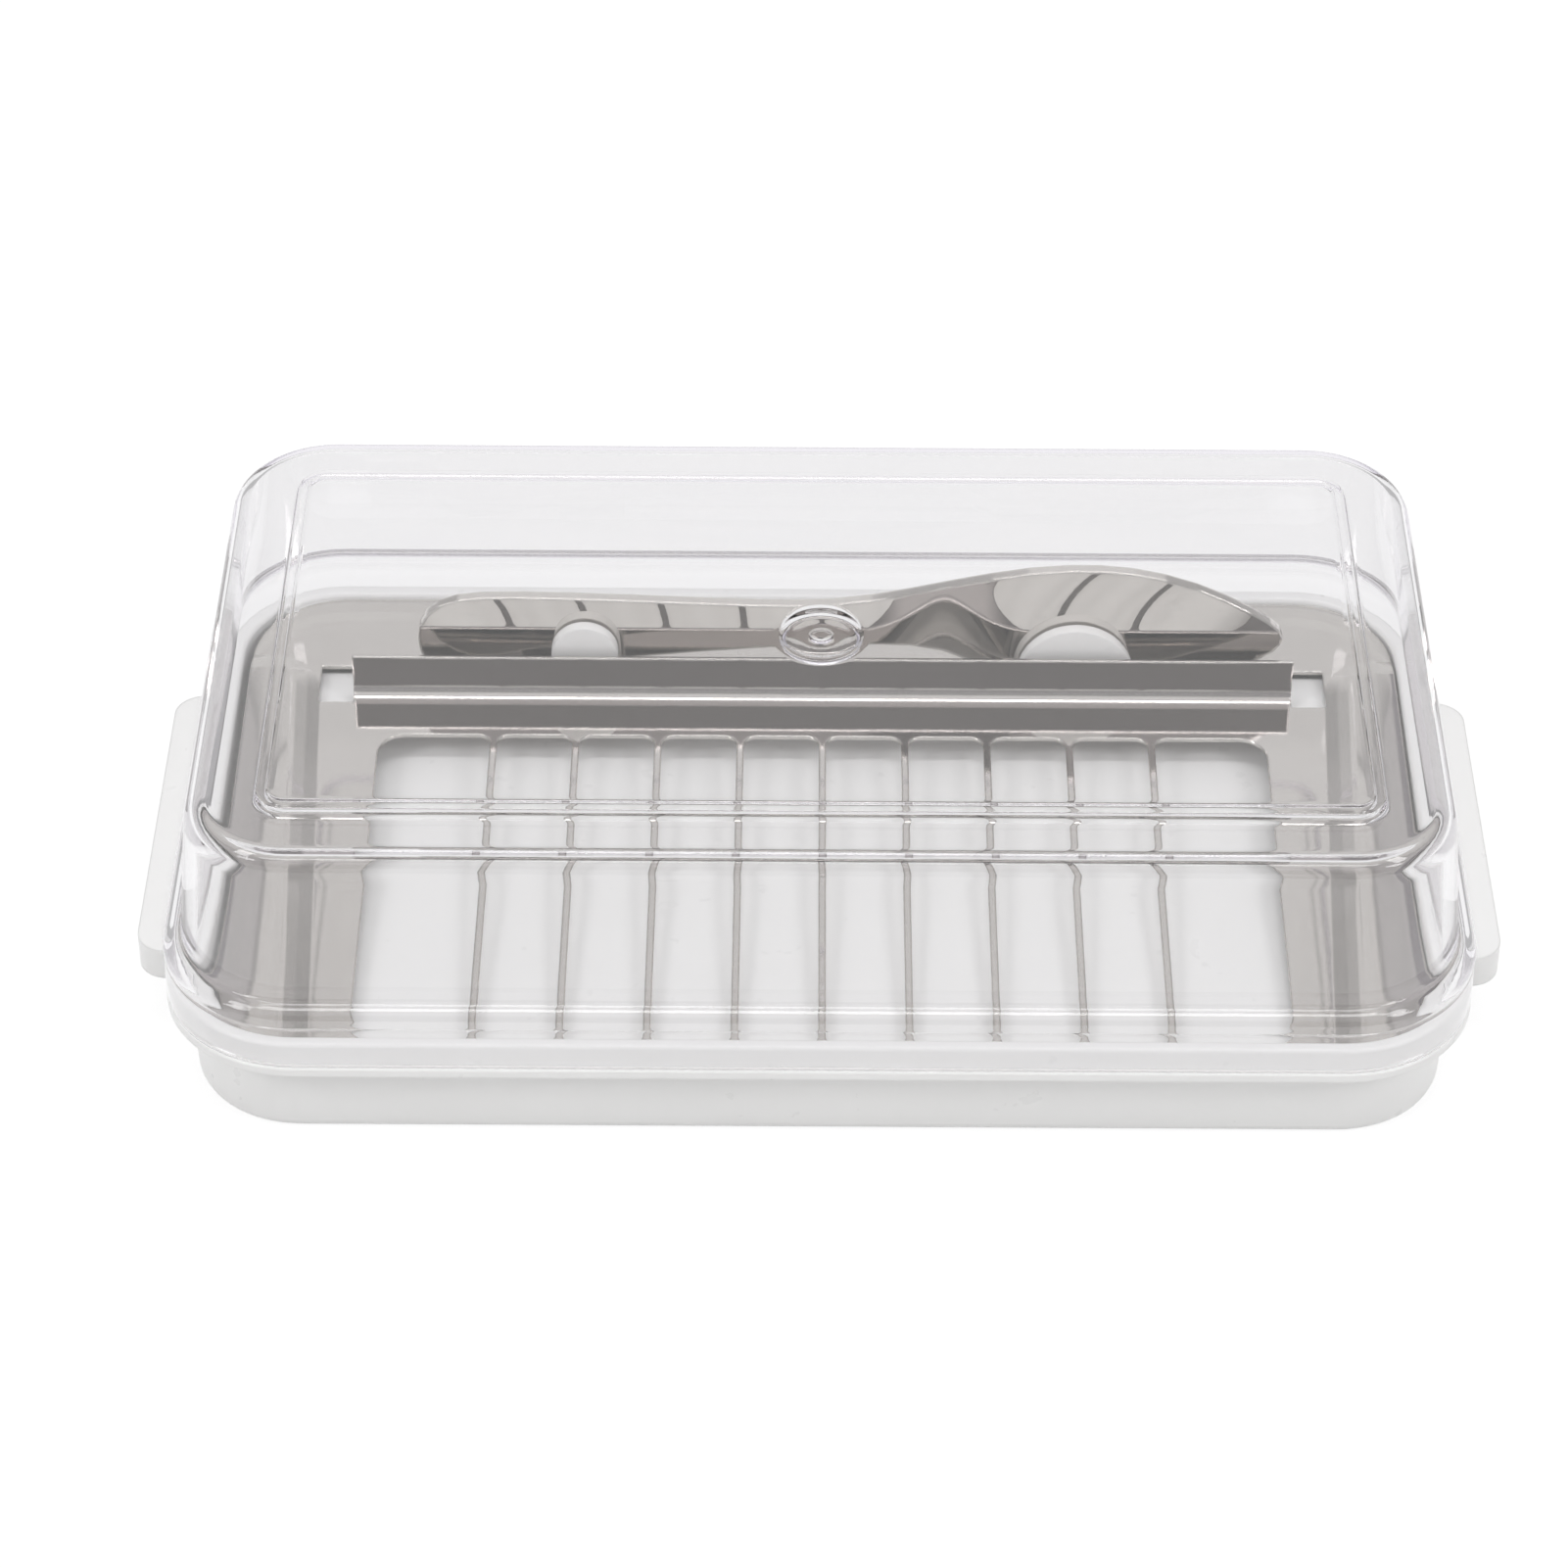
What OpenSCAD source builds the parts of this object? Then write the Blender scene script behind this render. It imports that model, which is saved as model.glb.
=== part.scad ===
// Lidded butter case with a slotted steel slicing plate and a butter knife.
// Millimetres. +X is the long side, the front faces -Y, +Z is up.
// The origin is the middle of the footprint, on the table.

/* [Case] */
// Width of the flange and of the lid
case_w = 189.2; // [170:1:210]
// Depth of the flange and of the lid
case_d = 114; // [100:1:130]
// Corner radius of the flange
corner_r = 20; // [16:1:26]
// Height of the foot wall under the flange
foot_h = 12.7; // [10:0.5:18]
// Height of the rim above the flange
rim_h = 3.3; // [2:0.1:5]

/* [Ears] */
// How far each ear reaches past the flange
ear_reach = 5.4; // [3:0.2:12]
// Length of each ear from front to back
ear_len = 62; // [40:1:70]
// Thickness of each ear
ear_t = 5.2; // [3:0.2:7]

/* [Slicing plate] */
// Spacing of the cutting bars
bar_pitch = 12.6; // [10:0.1:14]
// Width of one cutting bar
bar_w = 1.1; // [0.8:0.1:2]
// Number of cutting bars
bar_n = 9; // [5:2:9]
// Thickness of the sheet
sheet_t = 0.6; // [0.5:0.1:1]
// Height of the folded wall behind the slots
fold_h = 7.1; // [4:0.1:9]
// How far the sheet leans up to the back, in degrees
lean = 2.6; // [0:0.1:3]

/* [Lid] */
// Height of the lid above the flange
lid_h = 34.5; // [32:0.1:50]
// Wall thickness of the lid
lid_t = 2; // [1.4:0.1:2.4]

/* [Knife] */
// Thickness of the knife
knife_t = 1.8; // [1.2:0.1:2]

/* [Hidden] */
$fn = 64;
hw = case_w / 2;
hd = case_d / 2;
flange_t = 1.7;
flange_z = foot_h + flange_t;
rim_z = flange_z + rim_h;
floor_z = foot_h - 1.5;
wall_t = 2;
mid_z = flange_z + 0.5;
sheet_hw = hw - 5.6;
sheet_hd = hd - 5.4;
sheet_r = corner_r - 5.4;
sheet_x = 0.4;
slot_front = -(hd - 10);
slot_back = hd - 38.6;
fold_y = hd - 28.7;
fold_hw = 72.6;
open_y = fold_y + 6.5;
open_hw = 78;
field_hw = bar_pitch * (bar_n - 1) / 2 + 17.6;
pad_x = 76.4;
lid_gap = 0.1;
lid_z = flange_z + lid_gap;
lid_top = lid_z + lid_h;
peg_y = fold_y + sheet_t + 0.75;
peg_t = 2;
knife_y = peg_y + peg_t + 0.4;

// Half planes of one rounded block: p lists [inset, height] from the bottom up.
module rounded_block(w, d, r, p) {
    n = len(p);
    corner = concat([[0, p[0][1]]], [for (q = p) [r - q[0], q[1]]], [[0, p[n - 1][1]]]);
    across = concat([for (q = p) [w - q[0], q[1]]], [for (i = [n - 1:-1:0]) [-(w - p[i][0]), p[i][1]]]);
    along = concat([for (q = p) [d - q[0], q[1]]], [for (i = [n - 1:-1:0]) [-(d - p[i][0]), p[i][1]]]);
    for (sx = [-1, 1], sy = [-1, 1])
        translate([sx * (w - r), sy * (d - r), 0])
            rotate_extrude()
                polygon(corner);
    rotate([90, 0, 0])
        linear_extrude(height = 2 * (d - r), center = true)
            polygon(across);
    rotate([90, 0, 90])
        linear_extrude(height = 2 * (w - r), center = true)
            polygon(along);
}

// Flat rounded outline, drawn with true circles.
module rounded_flat(w, d, r) {
    for (sx = [-1, 1], sy = [-1, 1])
        translate([sx * (w - r), sy * (d - r)])
            circle(r = r);
    square([2 * (w - r), 2 * d], center = true);
    square([2 * w, 2 * (d - r)], center = true);
}

// Foot wall, flange and rim in one outline.
module tray_outside() {
    rounded_block(hw, hd, corner_r, [
        [4.6, 0],
        [4.05, 0.5],
        [3.8, 1.2],
        [3.2, foot_h],
        [0.3, foot_h],
        [0, foot_h + 0.3],
        [0, flange_z - 0.3],
        [0.3, flange_z],
        [2.05, flange_z],
        [2.2, rim_z - 0.5],
        [2.4, rim_z - 0.15],
        [2.75, rim_z]
    ]);
}

// One ear: a plain slab with rounded outer corners.
module ear() {
    reach = hw + ear_reach;
    translate([0, 0, flange_z - ear_t])
        linear_extrude(height = ear_t) {
            translate([hw - 6, -ear_len / 2])
                square([reach - hw + 6 - 4.5, ear_len]);
            translate([hw - 6, -ear_len / 2 + 4.5])
                square([reach - hw + 6, ear_len - 9]);
            for (s = [-1, 1])
                translate([reach - 4.5, s * (ear_len / 2 - 4.5)])
                    circle(r = 4.5);
        }
}

// One half round peg that stands up through the opening of the plate.
module peg(r, top) {
    translate([0, peg_y + peg_t, 0])
        rotate([90, 0, 0])
            linear_extrude(height = peg_t) {
                translate([0, top - r])
                    circle(r = r);
                translate([-r, floor_z - 0.5])
                    square([2 * r, top - r - floor_z + 0.5]);
            }
}

// Short block on the floor that carries the knife.
module knife_rest(x, w, top) {
    translate([x - w / 2, knife_y - 0.4, floor_z - 0.5])
        cube([w, knife_t + 0.8, top - floor_z + 0.5]);
}

module tray() {
    color([0.93, 0.93, 0.92]) {
        difference() {
            union() {
                tray_outside();
                for (s = [0, 180])
                    rotate([0, 0, s])
                        ear();
            }
            // room above the floor
            rounded_block(hw, hd, corner_r, [
                [5.1, floor_z],
                [4.9, floor_z + 0.6],
                [4.75, rim_z - 0.6],
                [4.45, rim_z - 0.15],
                [4.1, rim_z],
                [4.1, rim_z + 1]
            ]);
            // hollow under the floor
            rounded_block(hw, hd, corner_r, [
                [5.9, -1],
                [5.9, 0],
                [5.5, floor_z - wall_t - 0.8],
                [6.2, floor_z - wall_t]
            ]);
        }
        // ledges that carry the front and back edge of the plate
        intersection() {
            rounded_block(hw, hd, corner_r, [[4.4, floor_z - 0.5], [4.4, rim_z - 1]]);
            union() {
                translate([-hw, -hd, floor_z - 0.5])
                    cube([2 * hw, 8.2, 0.5 + sheet_z(-hd + 8.2) - sheet_t - floor_z - 0.35]);
                translate([-hw, hd - 8.2, floor_z - 0.5])
                    cube([2 * hw, 8.2, 0.5 + sheet_z(hd - 8.2) - sheet_t - floor_z - 0.05]);
            }
        }
        translate([-36.4, 0, 0])
            peg(5.15, flange_z + 13.2);
        translate([39.5, 0, 0])
            peg(9, flange_z + 13.2);
        knife_rest(34, 16, flange_z - 0.9);
        knife_rest(-53, 9, flange_z + 1.5);
        // white shelf under the opening of the plate
        translate([-79, fold_y + 0.3, floor_z - 0.5])
            cube([158, open_y - fold_y + 0.1, flange_z - 1 - floor_z + 0.5]);
        // taller block under each end of the opening
        for (s = [-1, 1])
            translate([s * (open_hw - 2.5) - 4, fold_y - 2.6, floor_z - 0.5])
                cube([8, open_y - fold_y + 3, flange_z + 0.5 - floor_z + 0.5]);
    }
}

// Height of the top face of the sheet at a given place from front to back.
function sheet_z(y) = mid_z + y * tan(lean);

// Raised side pad of the plate, lowered by drop.
module side_pad(s, drop) {
    translate([s * (pad_x + 20), -24, -drop])
        rotate([0, 0, -s * 3.1])
            rounded_block(21.5, 61, 9, [
                [0, -0.4],
                [0.1, 0],
                [2.1, 0.65],
                [3.9, 1.15],
                [4.6, 1.25]
            ]);
}

// One slot between two bars, or an end slot with its large outer corners.
module slot(x0, x1, r0, r1) {
    difference() {
        translate([x0, slot_front])
            square([x1 - x0, slot_back - slot_front]);
        for (e = [[x0, 1, r0], [x1, -1, r1]])
            for (f = [[slot_front, 1], [slot_back, -1]])
                translate([e[0], f[0]])
                    difference() {
                        translate([e[1] > 0 ? -0.1 : -e[2], f[1] > 0 ? -0.1 : -e[2]])
                            square(e[2] + 0.1);
                        translate([e[1] * e[2], f[1] * e[2]])
                            circle(r = e[2]);
                    }
    }
}

module slots() {
    k = (bar_n - 1) / 2;
    for (i = [-k:k - 1])
        slot(i * bar_pitch + bar_w / 2, (i + 1) * bar_pitch - bar_w / 2, 2, 2);
    slot(-field_hw, -k * bar_pitch - bar_w / 2, 4.2, 2);
    slot(k * bar_pitch + bar_w / 2, field_hw, 2, 4.2);
}

// The folded wall with its bend, in the plane of the sheet.
module folded_wall() {
    r = 2.2;
    rotate([90, 0, 90])
        linear_extrude(height = 2 * fold_hw, center = true) {
            translate([fold_y, r - sheet_t])
                square([sheet_t, fold_h - r + sheet_t]);
            difference() {
                translate([fold_y - r, -sheet_t])
                    square([r + sheet_t, r + sheet_t]);
                translate([fold_y - r, r])
                    circle(r = r);
                difference() {
                    translate([fold_y - r, -sheet_t])
                        square([r + sheet_t + 1, r + sheet_t]);
                    translate([fold_y - r, r])
                        circle(r = r + sheet_t);
                }
            }
        }
}

module slicing_plate() {
    color([0.78, 0.78, 0.79])
        translate([sheet_x, 0, mid_z])
            rotate([lean, 0, 0]) {
                difference() {
                    union() {
                        translate([0, 0, -sheet_t])
                            linear_extrude(height = sheet_t)
                                rounded_flat(sheet_hw, sheet_hd, sheet_r);
                        intersection() {
                            translate([0, 0, -sheet_t])
                                linear_extrude(height = 4)
                                    rounded_flat(sheet_hw, sheet_hd, sheet_r);
                            union() {
                                side_pad(1, 0);
                                side_pad(-1, 0);
                            }
                        }
                    }
                    side_pad(1, sheet_t);
                    side_pad(-1, sheet_t);
                    translate([0, 0, -2])
                        linear_extrude(height = 4) {
                            slots();
                            translate([-open_hw, fold_y])
                                square([2 * open_hw, open_y - fold_y]);
                            for (s = [-1, 1])
                                translate([s * (fold_hw + open_hw) / 2, fold_y - 0.4])
                                    square([open_hw - fold_hw, 3.6], center = true);
                        }
                }
                folded_wall();
            }
}

// Side view of the knife: x along the knife, y is its height.
KNIFE = [
    [-62.2, 25.2], [-61.9, 27.6], [-60.7, 29.8], [-58.7, 31.5], [-56, 32.5], [-52, 33], [-46, 33.1],
    [-38, 32.95], [-28, 32.6], [-18, 32.2], [-10, 31.95], [-4, 31.9], [2, 32.15], [8, 33], [14, 34.3],
    [20, 35.75], [26, 37.1], [32, 38.15], [38, 38.7], [43, 38.7], [48, 38.2], [53, 37.1], [58, 35.4],
    [62.5, 33.3], [66.5, 31], [69.5, 29], [71, 27.6], [71.5, 26.3], [71.2, 25], [70.2, 23.7],
    [67.5, 21.9], [63, 19.8], [58, 18], [53, 16.6], [48, 15.6], [43, 15.05], [38, 14.95], [33.5, 15.4],
    [29.5, 16.9], [26, 19.4], [23, 21.7], [19, 23.5], [14, 24.5], [7, 24.75], [0, 24.5], [-8, 24],
    [-18, 23.15], [-28, 22.05], [-38, 20.6], [-46, 18.9], [-52, 17.6], [-55.5, 17.35], [-58.6, 18.2],
    [-60.8, 20.3], [-61.9, 22.7]
];

module butter_knife() {
    color([0.8, 0.8, 0.81])
        translate([0, knife_y + knife_t, flange_z - 15.8])
            rotate([90, 0, 0])
                linear_extrude(height = knife_t)
                    polygon(KNIFE);
}

// The raised panel on the top of the lid, with sloped sides.
module top_panel(z, drop) {
    translate([0, 0, z])
        rounded_block(hw - 14.8, hd - 14.8, 4.6, [[0, -drop], [0, 0], [1.7, 1.1]]);
}

module lid() {
    color([0.8, 0.85, 0.9, 0.35])
        difference() {
            union() {
                difference() {
                    union() {
                        rounded_block(hw, hd, corner_r, [
                            [0.25, lid_z],
                            [0, lid_z + 0.25],
                            [0, lid_z + 8.2],
                            [0.15, lid_z + 9],
                            [0.6, lid_z + 9.7],
                            [1.3, lid_z + 10.1],
                            [2, lid_z + 10.3],
                            [2.5, lid_z + 10.7],
                            [2.75, lid_z + 11.3],
                            [4.6, lid_top - 2.4],
                            [4.75, lid_top - 1.5],
                            [5.2, lid_top - 0.8],
                            [5.9, lid_top - 0.25],
                            [6.9, lid_top]
                        ]);
                        top_panel(lid_top, 1);
                    }
                    rounded_block(hw, hd, corner_r, [
                        [1.5, lid_z - 1],
                        [1.5, lid_z + 6],
                        [1.9, lid_z + 6.4],
                        [1.9, lid_z + 7.6],
                        [2.3, lid_z + 8.2],
                        [3.1, lid_z + 8.4],
                        [4.2, lid_z + 8.8],
                        [2.75 + lid_t - 0.1, lid_z + 10],
                        [4.25 + lid_t, lid_top - lid_t - 4.3],
                        [4.4 + lid_t, lid_top - lid_t - 3.19],
                        [4.83 + lid_t, lid_top - lid_t - 2.15],
                        [5.51 + lid_t, lid_top - lid_t - 1.26],
                        [6.4 + lid_t, lid_top - lid_t - 0.58],
                        [7.44 + lid_t, lid_top - lid_t - 0.15],
                        [8.55 + lid_t, lid_top - lid_t]
                    ]);
                    top_panel(lid_top - lid_t, 0.5);
                }
                // boss under the gate mark
                translate([0, 0, lid_top + 1.1 - lid_t - 0.8])
                    cylinder(d = 12.3, h = 1.2);
            }
            // round gate mark with a small pip
            translate([0, 0, lid_top + 0.3])
                difference() {
                    cylinder(d = 12.3, h = 2);
                    translate([0, 0, -0.1])
                        cylinder(d = 3.6, h = 0.6);
                }
        }
}

tray();
slicing_plate();
butter_knife();
lid();
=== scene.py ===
"""Looks of a lidded butter case: white tray, mirror steel slicing plate, steel knife and clear lid."""

import math

import bpy
from mathutils import Matrix, Vector


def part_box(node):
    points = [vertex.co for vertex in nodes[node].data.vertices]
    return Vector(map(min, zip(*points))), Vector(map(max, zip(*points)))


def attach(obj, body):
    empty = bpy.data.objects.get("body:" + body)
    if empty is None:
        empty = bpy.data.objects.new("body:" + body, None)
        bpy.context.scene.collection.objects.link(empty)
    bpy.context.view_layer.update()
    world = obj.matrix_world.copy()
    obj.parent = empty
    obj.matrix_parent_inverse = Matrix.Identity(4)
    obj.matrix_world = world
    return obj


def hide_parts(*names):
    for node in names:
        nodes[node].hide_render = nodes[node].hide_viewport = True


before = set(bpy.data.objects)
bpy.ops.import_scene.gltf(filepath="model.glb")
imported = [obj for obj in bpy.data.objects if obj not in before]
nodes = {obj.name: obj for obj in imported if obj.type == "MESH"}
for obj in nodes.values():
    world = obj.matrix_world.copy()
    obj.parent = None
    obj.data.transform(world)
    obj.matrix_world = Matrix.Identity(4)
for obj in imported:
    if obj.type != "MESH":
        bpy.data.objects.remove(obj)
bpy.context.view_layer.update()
MM = 0.001

# The lid's box in the frame gives its half width, half depth, lip and flat in millimetres
lid_low, lid_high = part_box("lid")
HALF_WIDTH = round(lid_high.x / MM, 2)
HALF_DEPTH = round(lid_high.y / MM, 2)
LIP_Z = round(lid_low.z / MM, 2)
PANEL_RISE = 1.1
FLAT_Z = round(lid_high.z / MM, 2) - PANEL_RISE

# Shape of the lid, in millimetres: insets count from the skirt's outer face, rises from the lip
CORNER = 20.0
TOP_T = 2.0
SKIRT_RISE = 8.1
SHOULDER_R = 2.0
WALL_FOOT_INSET = 2.8
WALL_FOOT_RISE = 11.4
WALL_TOP_INSET = 4.5
EDGE_REACH = 3.4
EDGE_DROP = 4.8
INNER_WALL_INSET = 6.4
INNER_R = 1.5
PANEL_INSET = 14.8
PANEL_CORNER = 4.6
MARK_R = 7.2
CORNER_STEPS = 14

# The knife's face, in metres: the level where it isn't turned, and the middle and reach of the neck
KNIFE_LEVEL = 0.029
NECK_X = 0.019
NECK_REACH = 0.014

# The normal's lean as a share of its length: down in the middle of the neck, and sideways for each
# metre across times each metre up
NECK_DIP = 0.28
KNIFE_TWIST = 300

# Floor in metres, a little under the tray so that the two faces don't coincide
FLOOR_SIZE = 6
FLOOR_Z = -0.0002


def arc(centre, level, radius, start, end, steps):
    """Points of an arc in a section, from the start angle to the end angle in degrees."""
    points = []
    for i in range(steps + 1):
        a = math.radians(start + (end - start) * i / steps)
        points.append((centre + radius * math.cos(a), level + radius * math.sin(a)))
    return points


def lifted(section, level):
    """A section with its heights counted from a level."""
    return [(inset, level + z) for inset, z in section]


def rounded_ring(w, d, r, z):
    """One loop round a rounded rectangle of half width w, half depth d and corner radius r."""
    points = []
    for sx, sy, start in ((1, 1, 0), (-1, 1, 90), (-1, -1, 180), (1, -1, 270)):
        corner = arc(0, 0, r, start, start + 90, CORNER_STEPS)
        points += [(sx * (w - r) + x, sy * (d - r) + y, z) for x, y in corner]
    return points


def inset_ring(inset, z):
    """One loop of the lid, set in from the skirt's outer face."""
    return rounded_ring(HALF_WIDTH - inset, HALF_DEPTH - inset, CORNER - inset, z)


def round_ring(r, z):
    """A loop on a circle, with as many points as the rounded rectangles have."""
    n = 4 * (CORNER_STEPS + 1)
    half_step = 180 / n
    circle = arc(0, 0, r, half_step, 360 - half_step, n - 1)
    return [(x, y, z) for x, y in circle]


def skin(name, rings):
    """A closed mesh from a stack of loops of equal count."""
    verts = []
    faces = []
    n = len(rings[0])
    last = len(rings) - 1
    for ring in rings:
        verts.extend((x * MM, y * MM, z * MM) for x, y, z in ring)
    for k in range(last):
        for i in range(n):
            j = (i + 1) % n
            faces.append((k * n + i, k * n + j, (k + 1) * n + j, (k + 1) * n + i))
    faces.append(tuple(range(n - 1, -1, -1)))
    faces.append(tuple(range(last * n, (last + 1) * n)))
    mesh = bpy.data.meshes.new(name)
    mesh.from_pydata(verts, [], faces)
    mesh.update()
    obj = bpy.data.objects.new(name, mesh)
    bpy.context.collection.objects.link(obj)
    return obj


def smooth(obj, degrees):
    """Smooth faces, with edges sharper than the angle kept crisp."""
    mesh = obj.data
    limit = math.radians(degrees)
    normals = {}
    for p in mesh.polygons:
        p.use_smooth = True
        for key in p.edge_keys:
            normals.setdefault(key, []).append(p.normal.copy())
    for e in mesh.edges:
        pair = normals.get(e.key, [])
        e.use_edge_sharp = len(pair) != 2 or pair[0].angle(pair[1], 0) > limit


def grey(v):
    """A neutral colour of brightness v."""
    return (v, v, v, 1)


def new_material(name):
    """A material with an empty tree and its output node."""
    mat = bpy.data.materials.new(name)
    mat.use_nodes = True
    tree = mat.node_tree
    tree.nodes.clear()
    out = tree.nodes.new("ShaderNodeOutputMaterial")
    return mat, tree, out


def add(tree, kind, **values):
    """A node, with values for its sockets: an underscore in a name stands for a space."""
    made = tree.nodes.new(kind)
    for name, value in values.items():
        made.inputs[name.replace("_", " ")].default_value = value
    return made


def join(tree, source, target):
    """Feeds a node's output into another node's input."""
    tree.links.new(source, target)


def reckon(tree, operation, *terms):
    """A math node on numbers and sockets. Returns its value."""
    made = tree.nodes.new("ShaderNodeMath")
    made.operation = operation
    for i, term in enumerate(terms):
        if isinstance(term, (int, float)):
            made.inputs[i].default_value = term
        else:
            join(tree, term, made.inputs[i])
    return made.outputs["Value"]


def reckon_vector(tree, operation, *terms):
    """A vector math node on sockets. Returns its vector."""
    made = tree.nodes.new("ShaderNodeVectorMath")
    made.operation = operation
    for i, term in enumerate(terms):
        join(tree, term, made.inputs[i])
    return made.outputs["Vector"]


def blend(tree, share, first, second):
    """A mix of two shaders. Returns its shader."""
    made = tree.nodes.new("ShaderNodeMixShader")
    join(tree, share, made.inputs["Fac"])
    join(tree, first, made.inputs[1])
    join(tree, second, made.inputs[2])
    return made.outputs["Shader"]


def grade(tree, value, start, low, end, high):
    """A colour ramp from low at start to high at end. Returns its colour."""
    made = tree.nodes.new("ShaderNodeValToRGB")
    first, second = made.color_ramp.elements
    first.position = start
    first.color = low
    second.position = end
    second.color = high
    join(tree, value, made.inputs["Fac"])
    return made.outputs["Color"]


def cloud(tree, scale, detail, stretch):
    """Noise in object space. Returns its value."""
    coord = tree.nodes.new("ShaderNodeTexCoord")
    mapping = add(tree, "ShaderNodeMapping", Scale=stretch)
    noise = add(tree, "ShaderNodeTexNoise", Scale=scale, Detail=detail)
    join(tree, coord.outputs["Object"], mapping.inputs["Vector"])
    join(tree, mapping.outputs["Vector"], noise.inputs["Vector"])
    return noise.outputs["Fac"]


def fine_bump(tree, scale, strength, distance, detail=3.0, stretch=(1, 1, 1), chain=None):
    """A bump from noise. Returns its normal."""
    bump = add(tree, "ShaderNodeBump", Strength=strength, Distance=distance)
    join(tree, cloud(tree, scale, detail, stretch), bump.inputs["Height"])
    if chain is not None:
        join(tree, chain, bump.inputs["Normal"])
    return bump.outputs["Normal"]


def drift(tree, scale, low, high, stretch=(1, 1, 1)):
    """A colour or value that drifts between two limits."""
    return grade(tree, cloud(tree, scale, 4.0, stretch), 0.3, low, 0.7, high)


def soft_edges(tree, radius):
    """Normals that round the edges. Returns the normal."""
    bevel = add(tree, "ShaderNodeBevel", Radius=radius)
    bevel.samples = 6
    return bevel.outputs["Normal"]


def turn_normal(tree, normal, twist):
    """Turns the normal sideways away from the middle, and down in a soft hollow round the neck."""
    coord = tree.nodes.new("ShaderNodeTexCoord")
    split = tree.nodes.new("ShaderNodeSeparateXYZ")
    aside = tree.nodes.new("ShaderNodeCombineXYZ")
    hollow = add(tree, "ShaderNodeMapRange", From_Max=NECK_REACH, To_Min=-NECK_DIP, To_Max=0.0)
    hollow.interpolation_type = "SMOOTHSTEP"
    join(tree, coord.outputs["Object"], split.inputs["Vector"])
    across = split.outputs["X"]
    level = reckon(tree, "SUBTRACT", split.outputs["Z"], KNIFE_LEVEL)
    lean = reckon(tree, "MULTIPLY", level, across)
    join(tree, reckon(tree, "MULTIPLY", lean, -twist), aside.inputs["X"])
    off = reckon(tree, "SUBTRACT", across, NECK_X)
    join(tree, reckon(tree, "ABSOLUTE", off), hollow.inputs["Value"])
    join(tree, hollow.outputs["Result"], aside.inputs["Z"])
    return reckon_vector(tree, "NORMALIZE", reckon_vector(tree, "ADD", normal, aside.outputs["Vector"]))


def dress(tree, out, bsdf, colour, rough, normal):
    """Joins a surface's colour, roughness and normal to its shader and the shader to the output."""
    join(tree, colour, bsdf.inputs["Base Color"])
    join(tree, rough, bsdf.inputs["Roughness"])
    join(tree, normal, bsdf.inputs["Normal"])
    join(tree, bsdf.outputs["BSDF"], out.inputs["Surface"])


def white_plastic():
    """Smooth white moulding, satin to gloss."""
    mat, tree, out = new_material("white_plastic")
    bsdf = add(tree, "ShaderNodeBsdfPrincipled", Specular_IOR_Level=0.45, Subsurface_Weight=0.2)
    bsdf.inputs["Subsurface Scale"].default_value = 1.0
    bsdf.inputs["Subsurface Radius"].default_value = (0.003, 0.003, 0.003)
    colour = drift(tree, 30, (0.925, 0.92, 0.912, 1), (0.95, 0.945, 0.937, 1))
    rough = drift(tree, 220, grey(0.27), grey(0.36))
    normal = fine_bump(tree, 1400, 0.05, 0.0001, chain=soft_edges(tree, 0.0005))
    dress(tree, out, bsdf, colour, rough, normal)
    return mat


def mirror_steel(name, low, high, wave, edge, smoothest, roughest, twist=0):
    """Polished stainless sheet with faint polishing waves, and a turned face where twist is given."""
    mat, tree, out = new_material(name)
    bsdf = add(tree, "ShaderNodeBsdfPrincipled", Metallic=1.0)
    colour = drift(tree, 24, low, high)
    rough = drift(tree, 160, grey(smoothest), grey(roughest), stretch=(1, 6, 1))
    waves = fine_bump(tree, 38, wave, 0.001, detail=1.0, chain=soft_edges(tree, edge))
    normal = fine_bump(tree, 900, 0.02, 0.0001, stretch=(1, 8, 1), chain=waves)
    if twist:
        normal = turn_normal(tree, normal, twist)
    dress(tree, out, bsdf, colour, rough, normal)
    return mat


def clear_plastic():
    """Clear moulding that bends light, tints it where it is thick, and lets shadow rays through."""
    mat, tree, out = new_material("clear_plastic")
    bsdf = add(tree, "ShaderNodeBsdfPrincipled", Transmission_Weight=1.0, IOR=1.5)
    bsdf.inputs["Base Color"].default_value = (0.944, 0.942, 0.945, 1)
    join(tree, drift(tree, 60, grey(0.0), grey(0.02)), bsdf.inputs["Roughness"])
    join(tree, fine_bump(tree, 30, 0.01, 0.001, detail=1.0), bsdf.inputs["Normal"])
    clear = add(tree, "ShaderNodeBsdfTransparent", Color=grey(0.99))
    late = add(tree, "ShaderNodeBsdfTransparent", Color=(0.9, 0.892, 0.91, 1))
    tint = add(tree, "ShaderNodeVolumeAbsorption", Color=(0.3, 0.16, 0.52, 1), Density=5)
    path = tree.nodes.new("ShaderNodeLightPath")
    # A ray that has bounced twice inside the wall goes straight on, so none is trapped and lost
    deep = reckon(tree, "GREATER_THAN", path.outputs["Glossy Depth"], 1.5)
    solid = blend(tree, deep, bsdf.outputs["BSDF"], late.outputs["BSDF"])
    light_ray = reckon(tree, "MAXIMUM", path.outputs["Is Shadow Ray"], path.outputs["Is Diffuse Ray"])
    join(tree, blend(tree, light_ray, solid, clear.outputs["BSDF"]), out.inputs["Surface"])
    join(tree, tint.outputs["Volume"], out.inputs["Volume"])
    return mat


def paint(obj, mat):
    """Gives a mesh its one material."""
    obj.data.materials.clear()
    obj.data.materials.append(mat)


def repaint(node, mat):
    """Gives a CAD node a better finish through its object's slots."""
    for s in nodes[node].material_slots:
        s.link = "OBJECT"
        s.material = mat


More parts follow.
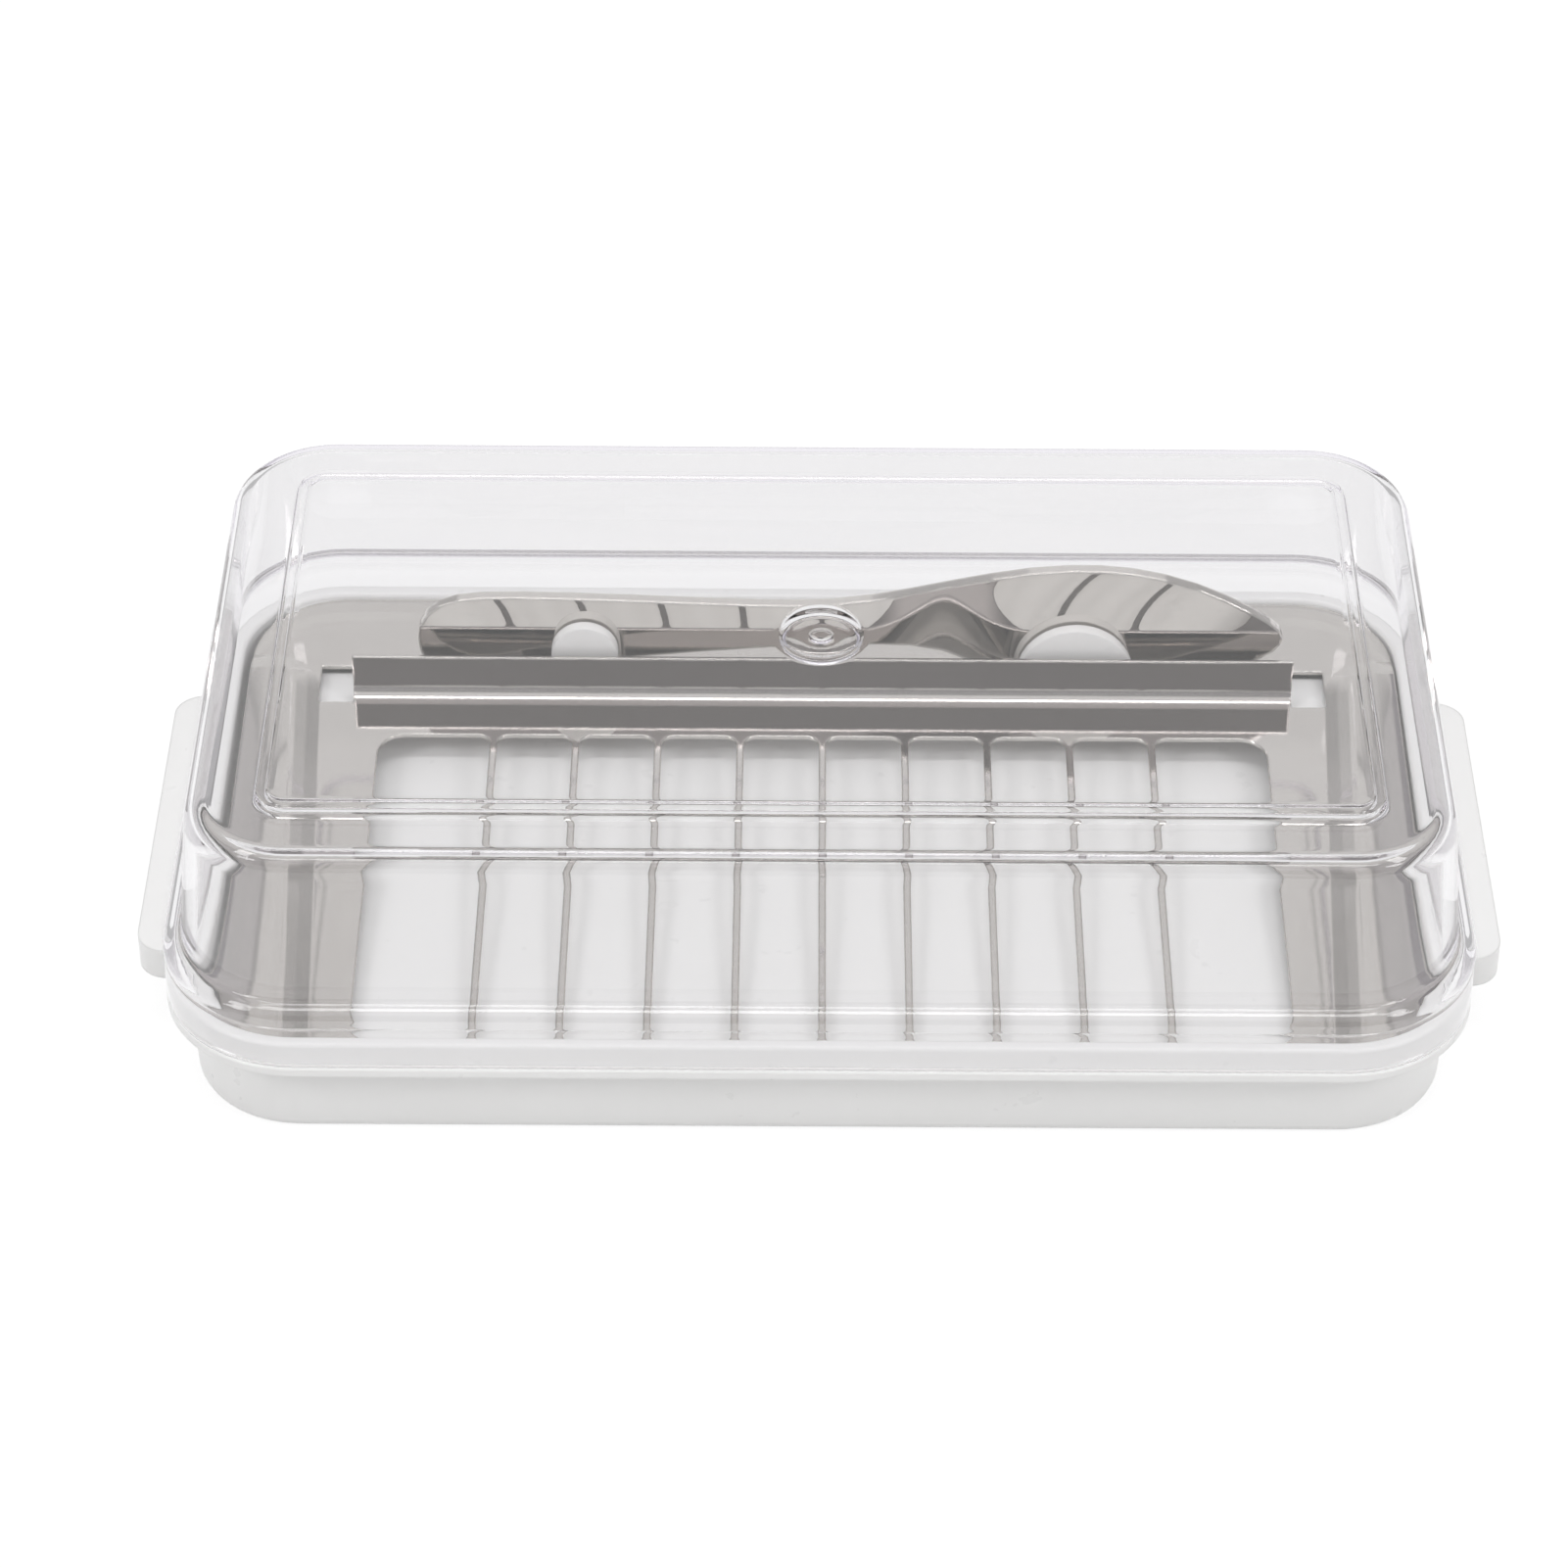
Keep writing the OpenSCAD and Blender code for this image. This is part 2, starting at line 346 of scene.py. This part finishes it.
def lid_outside():
    """Section of the lid's outer skin from the skirt's lip to the flat: (inset, height)."""
    low = [(0.25, 0), (0.08, 0.08), (0, 0.25), (0, 4), (0, SKIRT_RISE)]
    shoulder = arc(0, SKIRT_RISE, SHOULDER_R, 0, 80, 8)[1:]
    low += [(SHOULDER_R - r, z) for r, z in shoulder]
    low += [(2.2, 10.16), (2.5, 10.4), (2.7, 10.8), (WALL_FOOT_INSET, WALL_FOOT_RISE)]
    points = lifted(low, LIP_Z)
    foot = LIP_Z + WALL_FOOT_RISE
    draft = WALL_TOP_INSET - WALL_FOOT_INSET
    climb = FLAT_Z - EDGE_DROP - foot
    points += [(WALL_FOOT_INSET + draft * t, foot + climb * t) for t in (0.05, 0.5, 0.95)]
    edge = arc(0, 0, 1, 4.5, 90, 19)
    points += [(WALL_TOP_INSET + EDGE_REACH * (1 - x), FLAT_Z - EDGE_DROP * (1 - y)) for x, y in edge]
    points.append((8.4, FLAT_Z))
    return points


def lid_inside():
    """Section of the lid's inner skin, from the lip up: (inset, height)."""
    low = [(1.5, 0), (1.5, 6), (1.62, 6.3), (1.9, 6.5), (1.9, 7.4), (2.1, 8.0), (2.6, 8.35)]
    low += [(3.4, 8.55), (4.1, 8.85), (4.5, 9.4), (4.66, 10.2), (4.8, 11.4)]
    low += [(4.86, 12.2), (5.5, 20), (6.3, 29.8)]
    top = FLAT_Z - TOP_T
    points = lifted(low, LIP_Z)
    fillet = arc(0, top - INNER_R, INNER_R, 4, 90, 12)
    points += [(INNER_WALL_INSET + INNER_R - x, z) for x, z in fillet]
    points += [(8.3, top), (10, top)]
    return points


# The step up to the panel: a steep foot, a gentle slope and a faint crease: (inset, height)
PANEL_STEP = ((-1.0, 0), (-0.5, 0), (-0.15, 0.02), (0, 0.08), (0.22, 0.62), (0.36, 0.74), (0.6, 0.78))
PANEL_STEP += ((1.0, 0.8), (1.5, 0.83), (1.65, 0.86), (1.8, 0.98), (1.92, 1.06))
PANEL_STEP += ((2.2, PANEL_RISE), (2.8, PANEL_RISE))

# The gate mark, a shallow dish with a nub outside and a plain dish inside: (radius, height)
MARK_OUTSIDE = ((6.35, 0), (6.1, -0.04), (5.9, -0.16), (5.4, -0.5), (4.6, -0.74), (3.4, -0.9))
MARK_OUTSIDE += ((2.2, -0.92), (1.75, -0.86), (1.6, -0.6), (1.45, -0.5), (0.9, -0.46), (0.3, -0.45))
MARK_INSIDE = ((6.6, 0), (6.2, -0.06), (6.0, -0.3), (5.8, -0.66), (5.3, -0.78), (3, -0.8), (0.3, -0.8))


def top_rings(z, mark):
    """Loops of the raised panel and the gate mark, over the flat at height z."""
    w = HALF_WIDTH - PANEL_INSET
    d = HALF_DEPTH - PANEL_INSET
    rings = [rounded_ring(w - inset, d - inset, PANEL_CORNER - inset, z + up) for inset, up in PANEL_STEP]
    rings.append(round_ring(MARK_R, z + PANEL_RISE))
    rings += [round_ring(r, z + PANEL_RISE + up) for r, up in mark]
    return rings


def build_lid():
    """The whole lid as one closed skin, inner side first."""
    outer = [inset_ring(inset, z) for inset, z in lid_outside()]
    outer += top_rings(FLAT_Z, MARK_OUTSIDE)
    inner = [inset_ring(inset, z) for inset, z in lid_inside()]
    inner += top_rings(FLAT_Z - TOP_T, MARK_INSIDE)
    obj = skin("lid_clear", inner[::-1] + outer)
    smooth(obj, 40)
    return obj


lid = build_lid()
paint(lid, clear_plastic())
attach(lid, "lid_body")
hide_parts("lid")

repaint("tray", white_plastic())
repaint("slicing_plate", mirror_steel(
    "plate_steel",
    low=(0.635, 0.61, 0.582, 1),
    high=(0.67, 0.645, 0.617, 1),
    wave=0.006,
    edge=0.0005,
    smoothest=0.03,
    roughest=0.07,
))
repaint("butter_knife", mirror_steel(
    "knife_steel",
    low=(0.70, 0.672, 0.64, 1),
    high=(0.74, 0.712, 0.68, 1),
    wave=0.02,
    edge=0.0007,
    smoothest=0.02,
    roughest=0.05,
    twist=KNIFE_TWIST,
))


def seen_ray(tree, path, *kinds):
    """One where the ray is of any of the kinds, otherwise zero."""
    share = path.outputs[kinds[0]]
    for kind in kinds[1:]:
        share = reckon(tree, "MAXIMUM", share, path.outputs[kind])
    return share


def stage_material():
    """Floor that shows near white to the eye, metal and glass, and still takes the shadow."""
    mat, tree, out = new_material("floor")
    diffuse = add(tree, "ShaderNodeBsdfDiffuse", Color=grey(0.8))
    soft = add(tree, "ShaderNodeBsdfDiffuse", Color=grey(0.22))
    glow = add(tree, "ShaderNodeEmission", Color=grey(1), Strength=0.85)
    both = tree.nodes.new("ShaderNodeAddShader")
    path = tree.nodes.new("ShaderNodeLightPath")
    join(tree, glow.outputs["Emission"], both.inputs[0])
    join(tree, soft.outputs["BSDF"], both.inputs[1])
    seen = seen_ray(tree, path, "Is Camera Ray", "Is Glossy Ray", "Is Transmission Ray")
    surface = blend(tree, seen, diffuse.outputs["BSDF"], both.outputs["Shader"])
    join(tree, surface, out.inputs["Surface"])
    return mat


bpy.ops.mesh.primitive_plane_add(size=FLOOR_SIZE, location=(0, 0, FLOOR_Z))
floor = bpy.context.object
floor.name = "floor"
paint(floor, stage_material())


def build_world():
    """White sky behind and above, greyer in front where the room is and at the far sides."""
    world = bpy.data.worlds.new("studio")
    bpy.context.scene.world = world
    world.use_nodes = True
    tree = world.node_tree
    tree.nodes.clear()
    out = tree.nodes.new("ShaderNodeOutputWorld")
    coord = tree.nodes.new("ShaderNodeTexCoord")
    split = tree.nodes.new("ShaderNodeSeparateXYZ")
    path = tree.nodes.new("ShaderNodeLightPath")
    join(tree, coord.outputs["Generated"], split.inputs["Vector"])
    behind = reckon(tree, "MULTIPLY_ADD", split.outputs["Y"], 0.5, 0.5)
    sideways = reckon(tree, "ABSOLUTE", split.outputs["X"])
    front_to_back = grade(tree, behind, 0.1, grey(0.28), 0.17, grey(0.9))
    sides = grade(tree, sideways, 0.16, grey(1), 0.28, grey(0.58))
    room = add(tree, "ShaderNodeBackground", Strength=1.0)
    join(tree, reckon_vector(tree, "MULTIPLY", front_to_back, sides), room.inputs["Color"])
    light = add(tree, "ShaderNodeBackground", Color=grey(1), Strength=0.465)
    white = add(tree, "ShaderNodeBackground", Color=grey(1), Strength=1.0)
    mirrored = seen_ray(tree, path, "Is Glossy Ray", "Is Transmission Ray")
    shown = blend(tree, mirrored, light.outputs["Background"], room.outputs["Background"])
    whole = blend(tree, path.outputs["Is Camera Ray"], shown, white.outputs["Background"])
    join(tree, whole, out.inputs["Surface"])


build_world()

# Lamps: name, place in metres, width and height in metres, watts
LAMPS = (
    ("left_box", (-0.75, -0.5, 0.75), (0.25, 0.4), 2.55),
    ("right_box", (0.75, -0.5, 0.75), (0.25, 0.4), 2.55),
    ("top_box", (0, -0.05, 1.2), (0.9, 0.22), 3.6),
)
LAMP_TARGET = Vector((0, 0, 0.02))


def area(name, place, size, watts):
    """A soft box that shines from place to the case."""
    data = bpy.data.lights.new(name, "AREA")
    data.shape = "RECTANGLE"
    data.size, data.size_y = size
    data.energy = watts
    obj = bpy.data.objects.new(name, data)
    obj.location = place
    obj.rotation_euler = (LAMP_TARGET - Vector(place)).to_track_quat("-Z", "Y").to_euler()
    bpy.context.collection.objects.link(obj)


for lamp in LAMPS:
    area(*lamp)

# Camera of the photograph, fitted to measured points: angles, metres, and pixels of its square picture
PICTURE = 1601
SENSOR = 36
ELEV = math.radians(37.929)
DIST = 0.78659
FOCAL = 5110.28
SHIFT = 36.68
ROLL = math.radians(0.496)
YAW = math.radians(0.250)
AIM = Vector((0, 0.028087, 0))

turn = Matrix.Rotation(-YAW, 3, "Z")
ahead = turn @ Vector((0, math.cos(ELEV), -math.sin(ELEV)))
right = turn @ Vector((1, 0, 0))
up = turn @ Vector((0, math.sin(ELEV), math.cos(ELEV)))
tilt_right = right * math.cos(ROLL) + up * math.sin(ROLL)
tilt_up = up * math.cos(ROLL) - right * math.sin(ROLL)
stand = turn @ AIM - ahead * DIST

cam_data = bpy.data.cameras.new("camera")
cam_data.sensor_fit = "HORIZONTAL"
cam_data.sensor_width = SENSOR
cam_data.lens = FOCAL / PICTURE * SENSOR
cam_data.shift_x = -SHIFT / PICTURE
cam_data.clip_start = 0.01
cam = bpy.data.objects.new("camera", cam_data)
cam.matrix_world = Matrix((
    (tilt_right.x, tilt_up.x, -ahead.x, stand.x),
    (tilt_right.y, tilt_up.y, -ahead.y, stand.y),
    (tilt_right.z, tilt_up.z, -ahead.z, stand.z),
    (0, 0, 0, 1),
))
bpy.context.collection.objects.link(cam)
bpy.context.scene.camera = cam
bpy.context.scene.view_settings.view_transform = "Standard"
